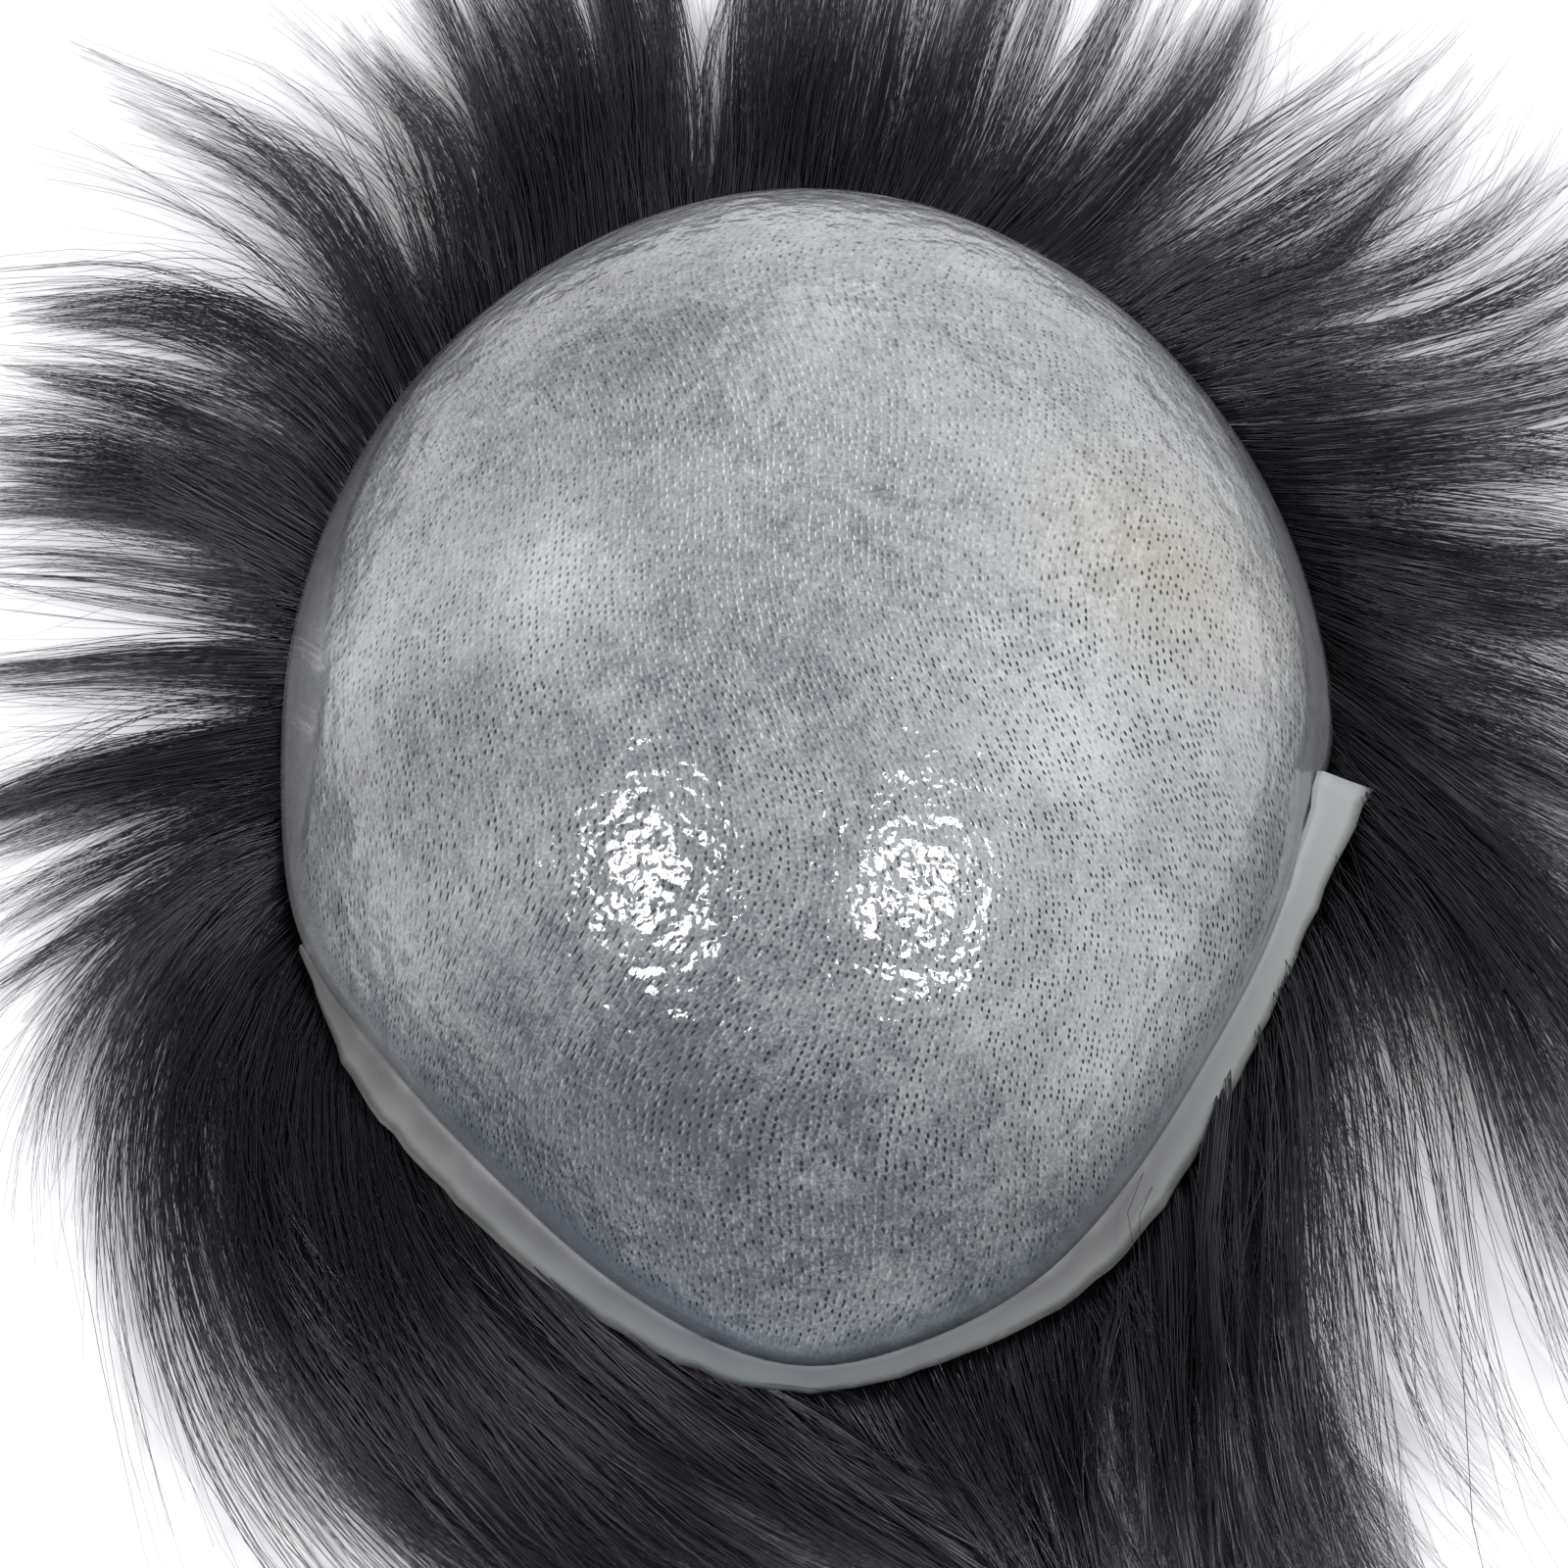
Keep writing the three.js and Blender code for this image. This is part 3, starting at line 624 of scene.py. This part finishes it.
def hair_template(steps):
    """One hair as a thin closed three-sided stalk of unit length along +Z, radius 1."""
    stalk = bmesh.new()
    bmesh.ops.create_circle(stalk, cap_ends=True, segments=3, radius=1.0)
    edges = [e for e in stalk.edges]
    for step in range(1, steps):
        grown = bmesh.ops.extrude_edge_only(stalk, edges=edges)["geom"]
        for corner in (g for g in grown if isinstance(g, bmesh.types.BMVert)):
            corner.co.z = step / (steps - 1)
        edges = [g for g in grown if isinstance(g, bmesh.types.BMEdge)]
        edges = [e for e in edges if abs(e.verts[0].co.z - e.verts[1].co.z) < 1e-6]
    bmesh.ops.contextual_create(stalk, geom=edges)
    bmesh.ops.recalc_face_normals(stalk, faces=stalk.faces)
    stalk.verts.index_update()
    corners = np.array([v.co for v in stalk.verts])
    faces = [[v.index for v in f.verts] for f in stalk.faces]
    stalk.free()
    return corners, faces


def hair_mesh(name, paths, widths, shades):
    """A copy of the stalk bent along every path, all in one mesh, thousands at a time."""
    count, steps = paths.shape[:2]
    stalk_corners, stalk_faces = hair_template(steps)
    ring = np.rint(stalk_corners[:, 2] * (steps - 1)).astype(int)
    along = np.gradient(paths, axis=1)
    along /= np.linalg.norm(along, axis=2, keepdims=True)
    side = np.cross(along, [0, 0, 1.0])
    side /= np.linalg.norm(side, axis=2, keepdims=True)
    over = np.cross(side, along)
    reach = widths[:, ring, None]
    corners = (
        paths[:, ring]
        + side[:, ring] * stalk_corners[None, :, 0, None] * reach
        + over[:, ring] * stalk_corners[None, :, 1, None] * reach
    )
    starts = np.arange(count)[:, None] * len(stalk_corners)
    mesh = bpy.data.meshes.new(name)
    sizes = np.array([len(f) for f in stalk_faces])
    order = np.concatenate(stalk_faces)
    mesh.vertices.add(count * len(stalk_corners))
    mesh.vertices.foreach_set("co", corners.astype(np.float32).ravel())
    mesh.loops.add(count * len(order))
    mesh.loops.foreach_set("vertex_index", (starts + order[None]).astype(np.int32).ravel())
    mesh.polygons.add(count * len(sizes))
    firsts = np.concatenate([[0], np.cumsum(sizes)[:-1]])
    loop_starts = np.arange(count)[:, None] * len(order) + firsts[None]
    mesh.polygons.foreach_set("loop_start", loop_starts.astype(np.int32).ravel())
    mesh.polygons.foreach_set("use_smooth", np.ones(count * len(sizes), bool))
    mesh.update(calc_edges=True)
    mesh.validate()
    add_value(mesh, "shade", np.repeat(shades, len(stalk_corners)))
    return mesh


def hair_paths(steps, azimuth, run_share, turn, level, root_height, wobble, phase):
    """Points along hairs that leave the rim at these azimuths."""
    (start, middle, tip), run, arch = flow_at(azimuth)
    run = run * fullness_at(azimuth)[3]
    share = np.linspace(0, 1, steps * 3 - 2)
    halfway = (share[1:] + share[:-1]) / 2
    heading = (
        start[:, None] * (1 - halfway) * (1 - 2 * halfway)
        + middle[:, None] * 4 * halfway * (1 - halfway)
        + tip[:, None] * halfway * (2 * halfway - 1)
        + turn[:, None] * halfway
        + wobble[:, None] * np.sin(2 * np.pi * (1.3 * halfway + phase[:, None]))
    )
    stride = (run * run_share)[:, None] / (len(share) - 1)
    heading = np.radians(heading)
    base = np.stack([np.cos(np.radians(azimuth)), np.sin(np.radians(azimuth))], 1)
    root = film_middle + base * (rim_radius(azimuth) - root_inset)[:, None]
    start_of_run = np.zeros((len(azimuth), 1))
    x = root[:, :1] + np.hstack([start_of_run, np.cumsum(np.cos(heading) * stride, 1)])
    y = root[:, 1:] + np.hstack([start_of_run, np.cumsum(np.sin(heading) * stride, 1)])
    sink = (1 - share) ** 1.3
    rise = np.sin(np.pi * share) ** 1.35 + 0.12 * np.sin(3 * np.pi * share + phase[:, None] * 9)
    z = tip_height + root_height[:, None] * sink + (arch * level)[:, None] * rise
    return np.stack([x, y, np.maximum(z, lowest_hair)], 2)[:, ::3]


# Human hair, dyed near black and left satin: cylinders that catch long lilac-white
# highlights where they bend towards the light. Single hairs are drawn 0.11 to 0.28 mm
# thick, because the real 0.07 mm would not show.
hair_finish, tree, shader = new_material("human_hair_black_satin")
shade_value = add_node(tree, "ShaderNodeAttribute", {"attribute_name": "shade"}).outputs["Fac"]
strand_colour = add_node(
    tree, "ShaderNodeMix", {"data_type": "RGBA"},
    {"Factor": shade_value, "A": hexed("#0b090e"), "B": hexed("#2d2831")},
).outputs["Result"]
tree.links.new(strand_colour, shader.inputs["Base Color"])
shader.inputs["Roughness"].default_value = 0.3
shader.inputs["IOR"].default_value = 1.55
shader.inputs["Specular IOR Level"].default_value = 1.0
shader.inputs["Specular Tint"].default_value = hexed("#f3eefb")

# The thick of the hair, where no light gets in between the hairs: flat black.
mass_finish, tree, shader = new_material("human_hair_black_massed")
shader.inputs["Base Color"].default_value = hexed("#0b090e")
shader.inputs["Roughness"].default_value = 0.85
shader.inputs["Specular IOR Level"].default_value = 0.1

hairs_per_degree = 47
most_hairs = 2650  # in one section
short_hairs_per_degree = 18
lock_spacing, wisp_spacing = 6, 0.8  # degrees
stray_share, shorter_share = 0.16, 0.25


def taper_of(steps):
    """Thickness along a hair, from the root to the tip, as a share of its own."""
    return np.interp(np.linspace(0, 1, steps), [0, 0.15, 0.6, 1], [1, 1, 0.8, 0.2])


def picked(low, high, spacing, spread):
    """Azimuths spread evenly over a stretch of the rim, each moved a little."""
    count = max(int((high - low) / spacing), 1)
    moved = random.uniform(0.5 - spread, 0.5 + spread, count)
    return low + (high - low) * (np.arange(count) + moved) / count


def kept_within(paths):
    """Hairs drawn in towards their roots where they would run past the furthest reach."""
    roots, tips = paths[:, :1, :2], paths[:, :, :2]
    furthest = np.array(cad_box[1][:2]) + furthest_reach
    room = (furthest - np.sign(tips) * roots) / np.maximum(np.abs(tips - roots), 1e-6)
    outward = np.sign(tips) * (tips - roots) > 0
    share = np.where(outward, room, 1).min(axis=(1, 2)).clip(0, 1)[:, None, None]
    return np.concatenate([roots + (tips - roots) * share, paths[:, :, 2:]], 2)


def long_hairs(low, high):
    """A section's long hairs, gathered in wisps and the wisps in locks."""
    steps = 10
    lock_azimuth = picked(low, high, lock_spacing, 0.4)
    locks = len(lock_azimuth)
    lock_run = random.uniform(0.88, 1.06, locks)
    lock_turn = random.normal(0, 5, locks)
    lock_level = random.uniform(0.1, 0.9, locks)
    lock_wobble = random.normal(0, 1, locks) * fullness_at(lock_azimuth)[2]
    wisp_azimuth = picked(low, high, wisp_spacing, 0.5)
    wisps = len(wisp_azimuth)
    straying = wisp_azimuth[:, None] + random.normal(0, 2.2, (wisps, 1))
    wisp_lock = np.abs(straying - lock_azimuth).argmin(1)
    wisp_run = random.normal(0.97, 0.07, wisps)
    wisp_turn = random.normal(0, 5, wisps)
    wisp_level = random.normal(0, 0.2, wisps)
    wisp_phase = random.uniform(0, 0.4, wisps)
    lock_share = random.uniform(0.5, 1.5, locks)
    wisp_share = fullness_at(wisp_azimuth)[0] * lock_share[wisp_lock]
    wisp_share *= random.lognormal(0, 0.55, wisps)
    mean_fullness = fullness_at(np.linspace(low, high, 60))[0].mean()
    count = min(int((high - low) * hairs_per_degree * mean_fullness), most_hairs)
    wisp = random.choice(wisps, count, p=wisp_share / wisp_share.sum())
    lock = wisp_lock[wisp]
    azimuth = wisp_azimuth[wisp] + random.normal(0, 1.2, count)
    stray = random.uniform(0, 1, count) < stray_share
    shorter = random.uniform(0, 1, count) < shorter_share
    shorter_reach = random.uniform(0.4, 0.85, count)
    full_reach = np.clip(random.normal(0.97, 0.08, count), 0.6, 1.1)
    reach = np.where(shorter, shorter_reach, full_reach)
    run_share = lock_run[lock] * wisp_run[wisp] * reach
    level = lock_level[lock] + wisp_level[wisp] + random.normal(0, 0.1, count)
    level = np.clip(level, 0, 1) * reach
    root = random.uniform(0.3, 1, count) * hair_depth
    turn = lock_turn[lock] + wisp_turn[wisp]
    wobble = lock_wobble[lock] + random.normal(0, 2, wisps)[wisp]
    phase = wisp_phase[wisp]
    own_turn = np.where(stray, random.normal(0, 13, count), turn + random.normal(0, 2.5, count))
    own_wobble = np.where(stray, random.normal(0, 12, count), wobble)
    own = hair_paths(steps, azimuth, run_share, own_turn, level, root, own_wobble, phase)
    in_wisp = hair_paths(
        steps, wisp_azimuth[wisp], run_share, turn, level, root, wobble, phase,
    )
    in_lock = hair_paths(
        steps, lock_azimuth[lock], run_share, lock_turn[lock], level, root, wobble, phase,
    )
    share = np.linspace(0, 1, steps) * reach[:, None]
    to_wisp = np.where(stray, 0.1, random.uniform(0.3, 0.95, count))[:, None] * share ** 1.1
    gather = fullness_at(azimuth)[1] * random.uniform(0.4, 1.4, count)
    to_lock = np.where(stray, 0.0, gather)[:, None] * share ** 1.5
    paths = own + (in_wisp - own) * to_wisp[:, :, None]
    paths += (in_lock - paths) * np.clip(to_lock, 0, 0.95)[:, :, None]
    paths = kept_within(paths)
    radius = np.where(stray, 0.055, random.uniform(0.07, 0.12, count)) * mm
    shade = 0.6 * random.uniform(0, 1, wisps)[wisp] + 0.4 * random.uniform(0, 1, count)
    return paths, radius[:, None] * taper_of(steps), shade ** 2


def short_hairs(low, high):
    """A section's short hairs, which keep it dark and close by the rim, drawn in darker tones as
    painted shade under the long hair.
    """
    steps = 6
    count = int((high - low) * short_hairs_per_degree)
    azimuth = random.uniform(low, high, count)
    run_share = random.triangular(0.12, 0.2, 0.5, count)
    turn = random.normal(0, 9, count)
    level = random.uniform(0, 0.35, count) * run_share
    root = random.uniform(0.2, 1, count) * hair_depth
    wobble = random.normal(0, 5, count)
    phase = random.uniform(0, 0.4, count)
    paths = hair_paths(steps, azimuth, run_share, turn, level, root, wobble, phase)
    radius = random.uniform(0.09, 0.14, count) * mm
    # the darker tones here are painted shade
    return paths, radius[:, None] * taper_of(steps), random.uniform(0, 0.5, count) ** 2


mass_voxel = 2 * mm  # grain of the mass, finer than its thinnest part
mass_end = 5 * mm  # how far past the rim the mass goes


def hair_mass(node_name):
    """The thick of a section: its backing, closed off just outside the rim."""
    mass = merged_copy(node_name, node_name + "_mass")
    remesh = mass.modifiers.new("even", "REMESH")
    remesh.mode = "VOXEL"
    remesh.voxel_size = mass_voxel
    ease = mass.modifiers.new("ease", "SMOOTH")
    ease.factor, ease.iterations = 0.5, 4
    applied(mass)
    places = points_of(mass.data)
    _, reach, azimuth = around_middle(places)
    beyond = reach - rim_radius(azimuth)
    drop = np.interp(beyond / mass_end, [-0.8, 0, 1], [0, 0.4, 0.96])
    places[:, 2] = np.maximum(places[:, 2] - 0.3 * mm, 0.1 * mm) * (1 - drop)
    set_points(mass.data, places)
    cut = bmesh.new()
    cut.from_mesh(mass.data)
    cut.verts.ensure_lookup_table()
    far = [cut.verts[i] for i in np.nonzero(beyond > mass_end)[0]]
    bmesh.ops.delete(cut, geom=far, context="VERTS")
    bmesh.ops.holes_fill(cut, edges=[e for e in cut.edges if e.is_boundary])
    bmesh.ops.recalc_face_normals(cut, faces=cut.faces)
    cut.to_mesh(mass.data)
    cut.free()
    add_value(mass.data, "shade", np.zeros(len(mass.data.vertices)))
    return mass


def joined_hair(name, mass, *strands):
    """One piece of a mass and its strands, with the massed finish on the mass alone."""
    mass_faces = len(mass.data.polygons)
    both = bmesh.new()
    for mesh in (mass.data, *strands):
        both.from_mesh(mesh)
    mesh = bpy.data.meshes.new(name)
    both.to_mesh(mesh)
    both.free()
    bpy.data.objects.remove(mass)
    hair = bpy.data.objects.new(name, mesh)
    bpy.context.scene.collection.objects.link(hair)
    mesh.polygons.foreach_set("use_smooth", np.ones(len(mesh.polygons), bool))
    mesh.materials.clear()
    mesh.materials.append(hair_finish)
    mesh.materials.append(mass_finish)
    uses_mass = np.arange(len(mesh.polygons)) < mass_faces
    mesh.polygons.foreach_set("material_index", uses_mass.astype(np.int32))
    return hair


for node_name, low, high in hair_sections:
    long = hair_mesh(node_name + "_long", *long_hairs(low, high))
    short = hair_mesh(node_name + "_short", *short_hairs(low, high))
    section = joined_hair(node_name + "_locks", hair_mass(node_name), long, short)
    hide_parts(node_name)
    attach(section, "root")


# ---------------------------------------------------------------------------------------
# Crown hair. The hair knotted through the middle of the film, combed out from the crown in
# a whorl and pressed against the film's inside. It shows only from underneath.
crown_mass = subdivided(merged_copy("hair_crown", "hair_crown_mass"), 1, crease_angle=60)
add_value(crown_mass.data, "shade", np.zeros(len(crown_mass.data.vertices)))
under_crown = BVHTree.FromObject(crown_mass, bpy.context.evaluated_depsgraph_get())
crown_reach = around_middle(points_of(crown_mass.data))[1].max()
crown_hairs = 1500
crown_steps = 8
crown_whorl = 1.1  # turn in radians on the way out from the crown
crown_stand = 0.02 * mm  # how far the strands stand into the mass

share = np.linspace(0, 1, crown_steps)[None]
from_share = random.uniform(0.02, 0.75, (crown_hairs, 1))
out = crown_reach * (from_share + random.uniform(0.15, 0.3, (crown_hairs, 1)) * share)
turn = random.uniform(0, 2 * np.pi, (crown_hairs, 1)) + crown_whorl * out / crown_reach
crown_x = film_middle[0] + out * np.cos(turn)
crown_y = film_middle[1] + out * np.sin(turn)
laid = []
for path in np.stack([crown_x, crown_y], 2):
    hits = [under_crown.ray_cast((x, y, 0), (0, 0, 1))[0] for x, y in path]
    if all(hits):
        laid.append([(hit.x, hit.y, hit.z + crown_stand) for hit in hits])
laid = np.array(laid)
crown_widths = random.uniform(0.1, 0.2, (len(laid), 1)) * mm * taper_of(crown_steps)
crown_strands = hair_mesh("crown_strands", laid, crown_widths, random.uniform(0, 1, len(laid)))
crown = joined_hair("hair_crown_combed", crown_mass, crown_strands)
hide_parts("hair_crown")
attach(crown, "root")


# ---------------------------------------------------------------------------------------
# Surface, light and camera. A plain pale table, soft boxes above to the left, the right
# and the far side, an even white surround, and a long lens from the near side, high up.
floor_shape = bmesh.new()
bmesh.ops.create_grid(floor_shape, x_segments=1, y_segments=1, size=3)
floor_mesh = bpy.data.meshes.new("floor")
floor_shape.to_mesh(floor_mesh)
floor_shape.free()
floor = bpy.data.objects.new("floor", floor_mesh)
floor.location.z = -0.2 * mm  # just under the hair's flat feet
bpy.context.scene.collection.objects.link(floor)
floor_finish, tree, shader = new_material("table_pale_matt")
shader.inputs["Base Color"].default_value = hexed("#fcfbfe")
shader.inputs["Roughness"].default_value = 0.7
shader.inputs["Specular IOR Level"].default_value = 0.2
floor_mesh.materials.append(floor_finish)

camera_distance = 0.75
camera_elevation = math.radians(65)
target = Vector((film_middle[0] - 3.54 * mm, film_middle[1] - 3.72 * mm, rim_height))


def soft_box(name, direction, distance, width, height, power):
    """A flat even light that faces the target."""
    light = bpy.data.lights.new(name, "AREA")
    light.shape = "RECTANGLE"
    light.size, light.size_y = width, height
    light.energy = power
    holder = bpy.data.objects.new(name, light)
    holder.location = target + Vector(direction).normalized() * distance
    holder.rotation_euler = (target - holder.location).to_track_quat("-Z", "Y").to_euler()
    bpy.context.scene.collection.objects.link(holder)


soft_boxes = [
    # name, direction from the target, distance, width, height (m), power (W)
    ("soft_box_left", (-0.64, -0.33, 0.86), 1.1, 0.26, 0.34, 6.2),
    ("soft_box_right", (0.41, -0.33, 0.86), 1.1, 0.2, 0.34, 6.5),
    ("soft_box_far", (0.35, 0.85, 0.5), 1.7, 2.0, 1.3, 13),
]
for box in soft_boxes:
    soft_box(*box)

world = bpy.data.worlds.new("studio")
world.use_nodes = True
world.node_tree.nodes["Background"].inputs["Color"].default_value = (0.96, 0.97, 1, 1)
world.node_tree.nodes["Background"].inputs["Strength"].default_value = 0.22
bpy.context.scene.world = world
bpy.context.scene.view_settings.view_transform = "Standard"

lens = bpy.data.cameras.new("camera")
lens.sensor_width = 36
lens.lens = 119.3
lens.clip_start = 0.01
eye = bpy.data.objects.new("camera", lens)
towards_eye = Vector((0, -math.cos(camera_elevation), math.sin(camera_elevation)))
eye.location = target + towards_eye * camera_distance
eye.rotation_euler = (target - eye.location).to_track_quat("-Z", "Y").to_euler()
bpy.context.scene.collection.objects.link(eye)
bpy.context.scene.camera = eye
